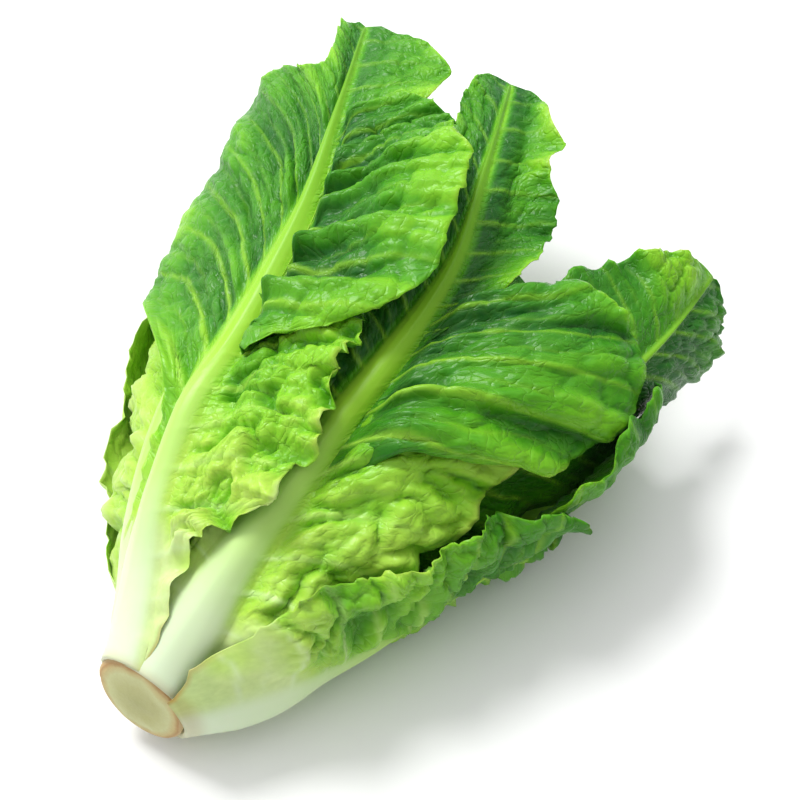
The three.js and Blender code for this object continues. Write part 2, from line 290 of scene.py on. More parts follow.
def half_sheet(leaf, sheet, side, rows, columns, whole):
    """One side of a leaf, from the rib out, as arrays over (rows, columns)."""
    start, end = sheet.get("reach", leaf["reach"])
    v = np.linspace(0, 1, rows)
    p = start + (end - start) * v
    u, _, share = rib_line(leaf, p)
    narrowing = tip_narrowing(leaf, u) if whole else np.ones(rows)
    rib = curve(leaf.get("rib_width", RIB_WIDTH), u) * leaf["rib"] * np.minimum(1, 1.5 * narrowing)
    width = np.maximum(outline(sheet, p, v) * narrowing, rib + 0.6 if whole else 2.0)
    q = columns_out(rib, width, columns, whole)
    angle = np.stack([half_row(leaf, p[i], side, q[i]) for i in range(rows)])

    def rows_of(values):
        return np.broadcast_to(np.asarray(values)[:, None], q.shape)

    sweep = curve(sheet["sweep"], v) if "sweep" in sheet else curve(SWEEP, u)
    forward = rows_of(p) + rows_of(sweep) * BOW * (1 - np.exp(-q / BOW))
    out = np.clip((q - rows_of(rib)) / np.maximum(width - rib, 1)[:, None], 0, 1)
    lift = rows_of(curve(sheet.get("lift", FLAT), v)) * out**1.6
    bulge = rows_of(curve(sheet.get("bulge", FLAT), v)) * np.sin(np.pi * out) * smooth(0, 0.45, out)
    radius = rows_of(share) * shell_radius(forward, angle) + lift + bulge
    crown = np.clip(1 - (q / np.maximum(rows_of(rib), 0.5)) ** 2, 0, 1) ** 1.2 if whole else 0 * q
    made = {
        "s": forward, "angle": angle, "radius": radius, "p": rows_of(p), "q": side * q, "u": rows_of(u),
        "t": q / width[:, None], "width": rows_of(width), "rib": rows_of(rib), "crown": crown,
        "depth": rows_of(curve(RIB_DEPTH, u) * leaf.get("depth", 1.0) * narrowing),
        "margin": 0 * q + sheet.get("margin", 0.14), "lobe": not whole,
    }
    for trait, usual in TRAITS.items():
        made[trait] = rows_of(curve(sheet.get(trait, [usual, usual]), v))
    return made


print("across a rib there are", 2 * RIB_COLUMNS + 1, "points")

# %% [markdown]
# ## Both sides of a leaf
#
# The two sides of a leaf are never alike, so each is made with its own widths. They meet in the
# middle line of the rib. Merging the points there by distance would work too, but leaving out one
# of the two middle columns keeps the grid whole.

# %% A whole sheet
def whole_sheet(leaf, rows, columns):
    """Both sides of a leaf, joined down the middle of the rib."""
    low = half_sheet(leaf, leaf["low"], -1, rows, columns, True)
    high = half_sheet(leaf, leaf["high"], 1, rows, columns, True)
    both = {key: np.concatenate([low[key][:, :0:-1], high[key]], 1) for key in low if key != "lobe"}
    return dict(both, lobe=False)


print("side veins bend outwards over", BOW, "mm")

# %% [markdown]
# ## Side veins
#
# Seen from outside, the veins of a lettuce leaf are raised cords about 2 mm wide where they leave
# the rib, some 15 mm apart, and each one forks on its way to the margin. Their strength is worked
# out once and used twice, for the shape and for the colour.

# %% The side veins
VEIN_STEP = 15.0  # distance between side veins along the rib
STAGGER = 6.0  # the veins of one side leave the rib between those of the other


def cord(distance, thick):
    return np.exp(-((distance / thick) ** 2))


def side_veins(sheet, seed):
    """How strongly each point lies on a side vein, from 0 to 1."""
    p, q, t = sheet["p"], np.abs(sheet["q"]), sheet["t"]
    wander = 4.0 * noise(p / 30, q / 26, seed) + 1.3 * noise(p / 9, q / 9, seed + 3)
    uneven = 2.5 * noise(p / 40, 0 * p, seed + 4)
    phase = (p + wander * smooth(0, 14, q) + uneven + np.where(sheet["q"] > 0, STAGGER, 0)) / VEIN_STEP
    to_vein = np.abs(phase - np.round(phase)) * VEIN_STEP
    to_fork = np.abs(phase + 0.5 - np.round(phase + 0.5) + 0.18 * (1 - t)) * VEIN_STEP
    thick = 1.1 - 0.5 * t
    vein = cord(to_vein, thick) * (1 - 0.6 * t)
    fork = 0.5 * cord(to_fork, 0.8 * thick) * smooth(0.25, 0.6, t) * (1.1 - t)
    return np.maximum(vein, fork) * (1 - sheet["crown"]) * smooth(0.03, 0.12, sheet["u"])


print("side veins every", VEIN_STEP, "mm")

# %% [markdown]
# ## Blisters, ruffles, pleats and frills
#
# Four things give romaine its crinkled look. Blisters of tissue about 8 mm across swell between
# the small veins. Where the leaf was crowded, low on the head, they run together into ruffles.
# Near the rib the tissue is drawn into pleats. The margin has grown faster than the rib, and its
# spare length goes into frills. A displace modifier could do each of these alone, but they have to
# be added up before the leaves are laid on each other.

# %% The relief of a sheet
BLISTER = (7.5, 9.5)  # size along and across the leaf
SMALL_BLISTER = (3.9, 4.6)
RUFFLE = (7.0, 12.0)
PLEAT = 10.0  # distance between the pleats beside the rib


def swellings(sheet, seed):
    """Blisters, and ruffles where the tissue is crowded, in millimetres."""
    p, q = sheet["p"], sheet["q"]
    bend_p = p + 3.0 * noise(p / 11, q / 11, seed + 1)
    bend_q = q + 3.0 * noise(p / 11, q / 11, seed + 2)
    blister = domes(bend_p / BLISTER[0], bend_q / BLISTER[1], seed)
    small = domes(bend_p / SMALL_BLISTER[0], bend_q / SMALL_BLISTER[1], seed + 2)
    crinkle = 1 - np.abs(noise(bend_p / 3.4, bend_q / 12, seed + 3)) * 2
    crowded = smooth(1.2, 1.7, sheet["pucker"])
    bend_p = bend_p + 3.0 * noise(p / 6, q / 6, seed + 5)
    bend_q = bend_q + 3.0 * noise(p / 6, q / 6, seed + 6)
    ruffle = np.minimum(2.2 * np.abs(noise(bend_p / RUFFLE[0], bend_q / RUFFLE[1], seed + 1)), 1)
    blister = blister + 0.75 * crowded * (1.25 * ruffle - blister)
    patch = 0.35 + 0.65 * smooth(-0.35, 0.35, noise(p / 22, q / 19, seed + 6))
    patch = np.maximum(patch, crowded)
    waves = 1.3 * noise(p / 15, q / 13, seed + 4)
    return 2.6 * (blister - 0.5) * patch + 1.0 * (small - 0.5) * patch + 0.2 * crinkle + waves


def relief(sheet, leaf, seed):
    """Height of the leaf over its smooth surface, in millimetres."""
    p, q, t = sheet["p"], sheet["q"], sheet["t"]
    from_rib = np.abs(q) - sheet["rib"]
    smooth_until = leaf.get("smooth_until", 28)
    blade = smooth(0.0, 6.0, from_rib) * smooth(0.02, 0.1, 1 - sheet["crown"])
    blade = blade * smooth(smooth_until, smooth_until + 14, sheet["s"])
    height = sheet["pucker"] * blade * swellings(sheet, seed)
    height = height + blade * smooth(0.1, 0.6, t) * 3.2 * noise(p / 30, q / 26, seed + 5)
    frill = noise(p / 9, q / 40, seed + 6) + 0.5 * noise(p / 4.5, q / 22, seed + 7)
    near_margin = smooth(0.35, 1.0, t) ** 1.5 * smooth(5, 22, sheet["width"])
    height = height + sheet["frill"] * 4.0 * near_margin * frill
    fold = 1.7 * noise(2 * p / PLEAT, q / 60, seed + 2)
    near_rib = smooth(0, 5, from_rib) * (1 - smooth(22, 60, from_rib))
    return height + sheet["pleat"] * fold * near_rib


print("blisters", BLISTER, "mm, ruffles", RUFFLE, "mm, pleats every", PLEAT, "mm")

# %% [markdown]
# ## Laying leaf on leaf
#
# Cloth simulation would find where the leaves touch, but it is slow for twenty leaves and hard to
# steer. Instead a map remembers how far out the head reaches so far in each direction. A new leaf
# is pushed out until it clears the map, the push is smoothed so that it shows as a soft swell, and
# the leaf is then added to the map.

# %% The map of what is already there
MAP_S, MAP_ANGLE = 2.0, math.radians(2.0)  # the size of one cell
reach_map = np.zeros((170, 180))


def map_cell(s, angle):
    i = np.clip(np.round(s / MAP_S).astype(int), 0, reach_map.shape[0] - 1)
    return i, np.round(angle / MAP_ANGLE).astype(int) % reach_map.shape[1]


def shifted(values, di, dj):
    """The same grid, moved by whole cells, with its edge repeated."""
    di_pad, dj_pad = abs(di), abs(dj)
    padded = np.pad(values, ((di_pad, di_pad), (dj_pad, dj_pad)), mode="edge")
    rows, columns = values.shape
    return padded[di_pad + di : di_pad + di + rows, dj_pad + dj : dj_pad + dj + columns]


def soften(values, along, across):
    rows = sum(shifted(values, k, 0) for k in range(-along, along + 1)) / (2 * along + 1)
    return sum(shifted(rows, 0, k) for k in range(-across, across + 1)) / (2 * across + 1)


print("map of", reach_map.size, "directions")

# %% Pushing a sheet out, and adding it to the map
PUSH_SPREAD = 8  # grid steps over which a push fades


def push_out(sheet, gap):
    """Pushes a sheet out until it clears the map. A lobe stays tucked under the side of its rib."""
    covered = reach_map[map_cell(sheet["s"], sheet["angle"])]
    push = np.maximum(np.where(covered > 0, covered + gap - sheet["radius"], 0), 0)
    for k in range(1, PUSH_SPREAD + 1):
        push = np.maximum(push, np.maximum(shifted(push, 1, 0), shifted(push, -1, 0)))
        if k % 2:
            push = np.maximum(push, np.maximum(shifted(push, 0, 1), shifted(push, 0, -1)))
    push = soften(push, PUSH_SPREAD, PUSH_SPREAD // 2)
    push = soften(push, PUSH_SPREAD // 2, PUSH_SPREAD // 3)
    if sheet["lobe"]:
        rows = np.linspace(0, 1, push.shape[0])[:, None]
        out_of_rib = smooth(0.8 * sheet["rib"], sheet["rib"] + 9, np.abs(sheet["q"]))
        push = push * out_of_rib * smooth(0, 0.07, rows)
    sheet["radius"] = sheet["radius"] + push


def add_to_map(sheet, thickness):
    layer = np.zeros_like(reach_map)
    np.maximum.at(layer, map_cell(sheet["s"], sheet["angle"]), sheet["radius"] + thickness)
    around = np.zeros_like(layer)
    for di in (-1, 0, 1):
        for dj in (-1, 0, 1):
            around = np.maximum(around, np.roll(shifted(layer, di, 0), dj, 1))
    layer = np.where(layer > 0, layer, around)
    np.maximum(reach_map, layer, out=reach_map)


print("a push fades over", PUSH_SPREAD, "grid steps")

# %% [markdown]
# ## From sheets to a mesh
#
# A leaf has real thickness: about half a millimetre in the blade and several millimetres in the
# rib, most of which stands out on the outside. A solidify modifier would give one thickness, so
# instead each sheet gets an outer and an inner face and a rim that closes them. What the material
# needs to know about each point, such as how green it is, travels with the mesh as attributes.

# %% Closing a grid and making a piece
def normals(points):
    along = np.gradient(points, axis=0)
    across = np.gradient(points, axis=1)
    n = np.cross(across, along)
    return n / np.maximum(np.linalg.norm(n, axis=-1, keepdims=True), 1e-9)


def quads(a, b, c, d):
    return np.stack([a, b, c, d], -1).reshape(-1, 4)


def closed_faces(rows, columns, offset):
    """Quads of an outer grid, an inner grid and the rim between them."""
    outer = offset + np.arange(rows * columns).reshape(rows, columns)
    inner = outer + rows * columns
    return np.concatenate([
        quads(outer[:-1, :-1], outer[:-1, 1:], outer[1:, 1:], outer[1:, :-1]),
        quads(inner[:-1, :-1], inner[1:, :-1], inner[1:, 1:], inner[:-1, 1:]),
        quads(outer[:-1, 0], outer[1:, 0], inner[1:, 0], inner[:-1, 0]),
        quads(outer[:-1, -1], inner[:-1, -1], inner[1:, -1], outer[1:, -1]),
        quads(outer[0, :-1], inner[0, :-1], inner[0, 1:], outer[0, 1:]),
        quads(outer[-1, :-1], outer[-1, 1:], inner[-1, 1:], inner[-1, :-1]),
    ])


def make_piece(name, vertices, faces, facts, material):
    """A smooth mesh object. Facts are one number or one vector for each vertex."""
    mesh = bpy.data.meshes.new(name)
    mesh.from_pydata((vertices * MM).tolist(), [], faces)
    for key, values in facts.items():
        kind, field = ("FLOAT", "value") if values.ndim == 1 else ("FLOAT_VECTOR", "vector")
        attribute = mesh.attributes.new(key, kind, "POINT")
        attribute.data.foreach_set(field, values.astype(np.float32).ravel())
    mesh.polygons.foreach_set("use_smooth", [True] * len(mesh.polygons))
    mesh.materials.append(material)
    piece = bpy.data.objects.new(name, mesh)
    bpy.context.scene.collection.objects.link(piece)
    return piece


print("a closed grid of 3 by 4 points has", len(closed_faces(3, 4, 0)), "faces")

# %% [markdown]
# ## Growing a leaf
#
# The sheet gets its relief and is pushed clear of the leaves below. At the stem the leaves have
# grown together, so there they are not pushed apart: over the last 50 mm they sink into each other
# as they near the cut face.

# %% Relief, push and fusing at the stem
STEM_RADIUS = 19.5
BLADE = 0.55  # thickness of the blade
KEEL = 0.8  # share of the rib's depth that stands outside the blade
RIB_ON_MAP = 0.7  # share of a rib's height that holds the next leaf off, which sags over the rib
FUSED_UNTIL, FREE_FROM = 6, 52  # along s, where a leaf stops being one with the stem and is free
FULL_SWELL = 3.5  # relief this high counts as fully swollen


def raise_relief(sheet, height):
    """Moves a sheet's points along its normals, and works out their new places on the head."""
    base = place(sheet["s"], sheet["angle"], sheet["radius"])
    moved = base + normals(base) * height[..., None] - origin
    z = moved[..., 2] - axis_height(moved[..., 0])
    turn = np.arctan2(z, moved[..., 1])
    whole_turns = np.round((sheet["angle"] - turn) / (2 * np.pi))
    sheet["s"] = moved[..., 0]
    sheet["angle"] = turn + 2 * np.pi * whole_turns
    sheet["radius"] = np.hypot(moved[..., 1], z)


def grow(sheet, leaf, seed):
    height = relief(sheet, leaf, seed)
    raise_relief(sheet, height)
    sheet["vein"] = side_veins(sheet, seed)
    # the relief's height, kept for the painted shade in creases and the painted highlight on swellings
    sheet["swell"] = np.clip(height / FULL_SWELL, -1, 1)
    before_push = sheet["radius"]
    push_out(sheet, leaf.get("gap", 1.2))
    fused = 1 - smooth(FUSED_UNTIL, FREE_FROM, sheet["s"])
    at_stem = leaf.get("at_stem", STEM_RADIUS - 2.6) + leaf.get("flare", 0.32) * sheet["s"]
    sheet["radius"] = sheet["radius"] * (1 - fused) + np.minimum(before_push, at_stem) * fused
    add_to_map(sheet, BLADE / 2 + KEEL * sheet["depth"] * sheet["crown"] * RIB_ON_MAP)


print("blade", BLADE, "mm thick")

# %% [markdown]
# ## The two faces of a leaf
#
# Most of the rib stands out on the outside of the leaf, with fine grooves along it where its
# strings run, and the inside is nearly flat. The blade thins out towards its margin. So the two
# faces are moved away from the sheet by different amounts.

# %% The two faces of a leaf
def faces_of(sheet):
    """Points of the outer and the inner face. The rib's outside has fine grooves along it."""
    points = place(sheet["s"], sheet["angle"], sheet["radius"])
    n = normals(points)
    rib = sheet["depth"] * sheet["crown"]
    blade = (BLADE / 2) * (0.4 + 0.6 * smooth(0, 0.06, 1 - sheet["t"]))
    wander = 1.3 * noise(sheet["p"] / 30, sheet["q"] / 3, 2)
    groove = 0.16 * np.sin(sheet["q"] * 2.4 + wander) * sheet["crown"]
    out = blade + KEEL * rib + groove * smooth(2, 5, rib) + 0.5 * sheet["vein"]
    inwards = blade + (1 - KEEL) * rib
    return points + n * out[..., None], points - n * inwards[..., None]


print("a rib 6 mm deep stands out by", round(6 * KEEL, 1), "mm")

# %% [markdown]
# ## What the material needs to know
#
# How green a point is depends on how much light it grew in. The base grew in the dark and is
# nearly white, the tips are full green, and a thin line along the margin and beside the rib is
# paler. Light and shade are painted in as well: creases get a painted shade of deeper green and
# swellings a painted highlight of paler green, some blades are painted deeper green beside the rib
# as painted shade, and the outer part of a folded lobe is painted paler as a painted sheen. Painting
# this by hand in texture paint would not follow the shape, so it is worked out with the shape.

# %% Facts for the material
LEAF_FACTS = ("green", "along", "rib", "vein", "dry")


def greenness(sheet, leaf):
    """0 is the white of the base and 1 the darkest green of the tips."""
    s, t = sheet["s"], sheet["t"]
    out_from_rib = np.maximum(np.abs(sheet["q"]) - sheet["rib"], 0)
    start = leaf.get("smooth_until", 28)
    green = 0.04 + 0.36 * smooth(start - 6, start + 18, s) + 0.26 * smooth(80, 225, s)
    # the blade pales towards its margin, and a folded lobe pales much more, which is painted sheen
    green = green - (0.2 if sheet["lobe"] else 0.06) * smooth(0.3, 0.95, t)
    green = green - 0.16 * np.exp(-out_from_rib / 3.2)
    # painted shade and highlight: creases are painted a deeper green and swellings a paler one
    green = green - (0.12 + 0.12 * smooth(110, 150, s)) * sheet["swell"]
    green = green - sheet["margin"] * smooth(0.955, 1.0, t) * smooth(50, 80, s)
    # painted shade: the blade beside the rib is painted a deeper green
    shade_beside_rib = np.exp(-((out_from_rib / 9) ** 2)) * smooth(0.5, 3, out_from_rib)
    green = green + leaf.get("rib_shade", 0) * shade_beside_rib * smooth(95, 150, s)
    return green + sheet["tone"] + leaf.get("tone", 0)


def leaf_facts(sheet, leaf):
    s = sheet["s"]
    dry_margin = smooth(0.9, 1.0, sheet["t"]) * (1 - smooth(10, 34, s))
    dry_end = 0.6 * (1 - smooth(4, 9, s))
    return {"green": greenness(sheet, leaf), "along": s / HEAD_LENGTH,
            "rib": smooth(0.03, 0.6, sheet["crown"]), "vein": sheet["vein"], "dry": dry_margin + dry_end}


print("facts for the material:", ", ".join(LEAF_FACTS))

# %% [markdown]
# ## One leaf, one piece
#
# A leaf's sheets, the whole one and any folded lobes, become one mesh object that rides on the
# head and replaces the CAD leaf of the same name.

# %% Making a leaf
LEAST_HEIGHT = 0.15  # a resting leaf is held this far above the table


def widest_of(sheet):
    return max(station[1] if isinstance(station, tuple) else station for station in sheet["width"])


def sheets_of(leaf, step):
    start, end = leaf["reach"]
    widest = max(widest_of(leaf["low"]), widest_of(leaf["high"]))
    sheets = [whole_sheet(leaf, int((end - start) / step), int(widest / step))]
    for lobe in leaf.get("lobes", []):
        rows = int(1.5 * (lobe["reach"][1] - lobe["reach"][0]) / step)
        sheets.append(half_sheet(leaf, lobe, lobe["side"], rows, int(widest_of(lobe) / step), False))
    return sheets


def make_leaf(name, node, leaf, material, step, seed):
    """Step is the distance between grid points in millimetres."""
    vertices, faces, count = [], [], 0
    facts = {key: [] for key in LEAF_FACTS + ("on_leaf",)}
    for number, sheet in enumerate(sheets_of(leaf, step)):
        grow(sheet, leaf, seed + 5 * number)
        outer, inner = faces_of(sheet)
        rows, columns = sheet["s"].shape
        vertices += [outer.reshape(-1, 3), inner.reshape(-1, 3)]
        faces.append(closed_faces(rows, columns, count))
        count += 2 * rows * columns
        for key, values in leaf_facts(sheet, leaf).items():
            facts[key] += [values.ravel()] * 2
        # millimetres along and across the leaf, and a depth that gives each leaf noise of its own
        on_leaf = np.stack([sheet["p"], sheet["q"], 0 * sheet["p"] + 37.0 * seed], -1)
        facts["on_leaf"] += [on_leaf.reshape(-1, 3)] * 2
    vertices = np.concatenate(vertices)
    vertices[:, 2] = np.maximum(vertices[:, 2], LEAST_HEIGHT)
    facts = {key: np.concatenate(values) for key, values in facts.items()}
    piece = make_piece(name, vertices, np.concatenate(faces).tolist(), facts, material)
    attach(piece, "root")
    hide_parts(node)
    return piece


print("a resting leaf clears the table by", LEAST_HEIGHT, "mm")

# %% [markdown]
# ## Colour and nodes
#
# Colours are picked as sRGB hex values, as on a paint chart, and turned to the linear values that
# Blender works in by one function. A second function adds any node: it sets the node's properties,
# fills its inputs with plain values or with links, and hands back one output for the next node.

# %% Two helpers for materials
def linear(hex_colour):
    channels = [int(hex_colour[i : i + 2], 16) / 255 for i in (1, 3, 5)]
    return [c / 12.92 if c <= 0.04045 else ((c + 0.055) / 1.055) ** 2.4 for c in channels] + [1.0]


def add(tree, kind, settings, inputs, output=0):
    """Adds a node and returns one of its outputs. The setting `stops` fills a colour ramp."""
    node = tree.nodes.new(kind)
    for key, value in settings.items():
        if key != "stops":
            setattr(node, key, value)
            continue
        while len(node.color_ramp.elements) < len(value):
            node.color_ramp.elements.new(0.5)
        for element, (at, colour) in zip(node.color_ramp.elements, value):
            element.position = at
            element.color = linear(colour)
    for key, value in inputs.items():
        if isinstance(value, bpy.types.NodeSocket):
            tree.links.new(value, node.inputs[key])
        else:
            node.inputs[key].default_value = value
    return node.outputs[output]


def new_material(name):
    material = bpy.data.materials.new(name)
    material.use_nodes = True
    return material, material.node_tree, material.node_tree.nodes["Principled BSDF"]


print("middle grey in linear light", round(linear("#808080")[0], 3))

# %% [markdown]
# ## Lettuce leaf: its green
#
# The material is fresh lettuce leaf: wet green cells under a smooth wax skin. Its green comes from
# the attribute worked out above, through a ramp from the white of the base over yellow green to
# the full green of the tips. Two noises break it up: deeper patches about 20 mm across, as the
# sun dapples them, and a fine mottle. The real mottle, single cells, is far too fine to show, so
# it is drawn 2 mm across.

# %% The green of the blade
OUTER_GREENS = [(0.0, "#D2E69A"), (0.2, "#B6DC50"), (0.4, "#86CA24"), (0.55, "#56A414"),
                (0.7, "#3C8C10"), (0.85, "#2A7814"), (1.0, "#1C6420")]
HEART_GREENS = [(0.0, "#E2ECB2"), (0.3, "#C6DF6C"), (0.6, "#98CA38"), (1.0, "#5CA828")]
MOTTLE_GREEN = "#3F8A1E"
PATCH_SIZE = 20.0  # these three in millimetres
MOTTLE_SIZE = 2.0
BEND_SIZE = 5.0


def blade_colour(tree, green, patches, mottle, greens):
    centred = add(tree, "ShaderNodeMath", {"operation": "SUBTRACT"}, {0: patches, 1: 0.5})
    wander = add(tree, "ShaderNodeMath", {"operation": "MULTIPLY"}, {0: centred, 1: 0.30})
    depth = add(tree, "ShaderNodeMath", {"operation": "ADD"}, {0: green, 1: wander})
    blade = add(tree, "ShaderNodeValToRGB", {"stops": greens}, {"Fac": depth})
    share = add(tree, "ShaderNodeMath", {"operation": "MULTIPLY"}, {0: mottle, 1: 0.3})
    return add(tree, "ShaderNodeMix", {"data_type": "RGBA", "blend_type": "MULTIPLY"},
               {0: share, 6: blade, 7: linear(MOTTLE_GREEN)}, 2)


print("greens from", OUTER_GREENS[0][1], "to", OUTER_GREENS[-1][1])

# %% [markdown]
# ## Lettuce leaf: the net of small veins
#
# The smallest veins that the eye can follow enclose cells about 3 mm across. The distance to the
# edge of a Voronoi cell draws such a net: high in the middle of a cell, zero on a vein. The net
# gives a faint paler line and, as bump, the fine crinkle that is too small for the mesh.

# %% The net of small veins
NET_SIZE = 10 / 3  # millimetres between small veins


def vein_net(tree, spot):
    """1 in the middle of each cell and 0 on the small veins."""
    bend = add(tree, "ShaderNodeTexNoise", {},
               {"Vector": spot, "Scale": 1 / BEND_SIZE, "Detail": 2.0}, "Color")
    bent = add(tree, "ShaderNodeVectorMath", {"operation": "MULTIPLY_ADD"}, {0: bend, 1: (7, 7, 0), 2: spot})
    edge = add(tree, "ShaderNodeTexVoronoi", {"feature": "DISTANCE_TO_EDGE"},
               {"Vector": bent, "Scale": 1 / NET_SIZE}, "Distance")
    raised = add(tree, "ShaderNodeMath", {"operation": "MULTIPLY", "use_clamp": True}, {0: edge, 1: 2.2})
    return add(tree, "ShaderNodeMath", {"operation": "POWER"}, {0: raised, 1: 0.6})


print("small veins", round(NET_SIZE, 1), "mm apart")

# %% [markdown]
# ## Lettuce leaf: rib, veins and dried edges
#
# Rib and veins hold little green: white at the base and pale green further up. Where the leaf was
# cut and near it along the margin, the sap has dried brown. Each is mixed over the blade by its
# own attribute.

# %% Colour over the blade
RIB_COLOURS = [(0.0, "#D8E6C8"), (0.12, "#D0E4B4"), (0.24, "#B6DC76"), (0.42, "#9ACE36"),
               (0.7, "#7CB824"), (1.0, "#5E9A20")]
DRIED_SAP = "#A9803F"


def leaf_colour(tree, fact, blade, net, soft):
    rib = add(tree, "ShaderNodeValToRGB", {"stops": RIB_COLOURS}, {"Fac": fact["along"]})
    creases = add(tree, "ShaderNodeMath", {"operation": "SUBTRACT", "use_clamp": True}, {0: 1.0, 1: net})
    faint = add(tree, "ShaderNodeMath", {"operation": "MULTIPLY"}, {0: soft, 1: 0.09})
    on_net = add(tree, "ShaderNodeMath", {"operation": "MULTIPLY"}, {0: creases, 1: faint})
    on_vein = add(tree, "ShaderNodeMath", {"operation": "MULTIPLY"}, {0: fact["vein"], 1: 0.95})
    on_dry = add(tree, "ShaderNodeMath", {"operation": "MULTIPLY"}, {0: fact["dry"], 1: 0.55})
    colour = blade
    for share, over in ((on_net, rib), (on_vein, rib), (fact["rib"], rib), (on_dry, linear(DRIED_SAP))):
        colour = add(tree, "ShaderNodeMix", {"data_type": "RGBA"}, {0: share, 6: colour, 7: over}, 2)
    return colour


print("ribs from", RIB_COLOURS[0][1], "to", RIB_COLOURS[-1][1])

# %% [markdown]
# ## Lettuce leaf: surface
#
# Wax over wet cells bends light a little more than water does, so the IOR is 1.38. The skin is
# smooth but wrinkled, which the eye sees as a soft gloss: roughness 0.24, and more in the mottle.
# A trace of sheen stands for the bloom of the wax. Some light goes in, travels about a millimetre
# and comes out yellower, which subsurface scattering gives. The wrinkles are bump 0.7 mm high,
# strongest in patches, and are left out on the smooth rib and the white base.

# %% The leaf material
WRINKLE_HEIGHT = 0.7 * MM
LEAF_SOCKETS = {
    "IOR": 1.38, "Specular IOR Level": 0.38, "Sheen Weight": 0.05, "Sheen Roughness": 0.45,
    "Subsurface Weight": 0.15, "Subsurface Radius": (0.6, 1.0, 0.25), "Subsurface Scale": 1.5 * MM,
}


def wrinkles(tree, fact, net, mottle, patches, soft):
    off_rib = add(tree, "ShaderNodeMath", {"operation": "SUBTRACT"}, {0: 1.0, 1: fact["rib"]})
    on_blade = add(tree, "ShaderNodeMath", {"operation": "MULTIPLY"}, {0: off_rib, 1: soft})
    patch = add(tree, "ShaderNodeMapRange", {},
                {"Value": patches, "From Min": 0.4, "From Max": 0.6, "To Min": 0.5})
    fine = add(tree, "ShaderNodeMath", {"operation": "MULTIPLY"}, {0: mottle, 1: 0.7})
    height = add(tree, "ShaderNodeMath", {"operation": "ADD"}, {0: net, 1: fine})
    for share in (on_blade, patch):
        height = add(tree, "ShaderNodeMath", {"operation": "MULTIPLY"}, {0: height, 1: share})
    return add(tree, "ShaderNodeBump", {}, {"Strength": 0.8, "Distance": WRINKLE_HEIGHT, "Height": height})


def leaf_material(name, greens):
    material, tree, shader = new_material(name)
    fact = {key: add(tree, "ShaderNodeAttribute", {"attribute_name": key}, {}, "Fac") for key in LEAF_FACTS}
    spot = add(tree, "ShaderNodeAttribute", {"attribute_name": "on_leaf"}, {}, "Vector")
    patches = add(tree, "ShaderNodeTexNoise", {},
                  {"Vector": spot, "Scale": 1 / PATCH_SIZE, "Detail": 4.0}, "Fac")
    mottle = add(tree, "ShaderNodeTexNoise", {},
                 {"Vector": spot, "Scale": 1 / MOTTLE_SIZE, "Detail": 4.0}, "Fac")
    past_white = add(tree, "ShaderNodeMath", {"operation": "SUBTRACT"}, {0: fact["green"], 1: 0.08})
    soft = add(tree, "ShaderNodeMath", {"operation": "MULTIPLY", "use_clamp": True}, {0: past_white, 1: 4.0})
    net = vein_net(tree, spot)
    blade = blade_colour(tree, fact["green"], patches, mottle, greens)
    tree.links.new(leaf_colour(tree, fact, blade, net, soft), shader.inputs["Base Color"])
    duller = add(tree, "ShaderNodeMath", {"operation": "MULTIPLY"}, {0: mottle, 1: 0.2})
    gloss = add(tree, "ShaderNodeMath", {"operation": "ADD"}, {0: 0.24, 1: duller})
    tree.links.new(gloss, shader.inputs["Roughness"])
    tree.links.new(wrinkles(tree, fact, net, mottle, patches, soft), shader.inputs["Normal"])
    for socket, value in LEAF_SOCKETS.items():
        shader.inputs[socket].default_value = value
    return material


outer_leaf = leaf_material("outer_lettuce_leaf", OUTER_GREENS)
heart_leaf = leaf_material("heart_lettuce_leaf", HEART_GREENS)
print("materials", outer_leaf.name, heart_leaf.name)

# %% [markdown]
# ## The cut stem: its flesh
#
# The head was cut from its root with a knife. The cut face is the pale flesh of the stem, dull
# because a cut cell doesn't keep its wax, and its rim has turned brown where the milky sap has
# dried. The attribute `rim` is 0 in the middle of the face and 1 at its edge, and a noise with
# patches 11 mm across pushes the brown in and out. The flesh lets light in deeper than a leaf.

# %% The stem's material
FLESH = [(0.0, "#ACAE72"), (0.45, "#B8BA7E"), (0.72, "#C8CC94"), (0.86, "#C6B67C"), (0.94, "#B48E56"),
         (1.0, "#C6B082")]
FIBRE_BROWN = "#C8A878"
SAP_PATCHES = 90.0  # per metre, so one is about 11 mm across
FIBRES = 900.0  # per metre, so one is about 1 mm across
STEM_SOCKETS = {"Subsurface Weight": 0.2, "Subsurface Radius": (1.0, 0.8, 0.4), "Subsurface Scale": 3 * MM}


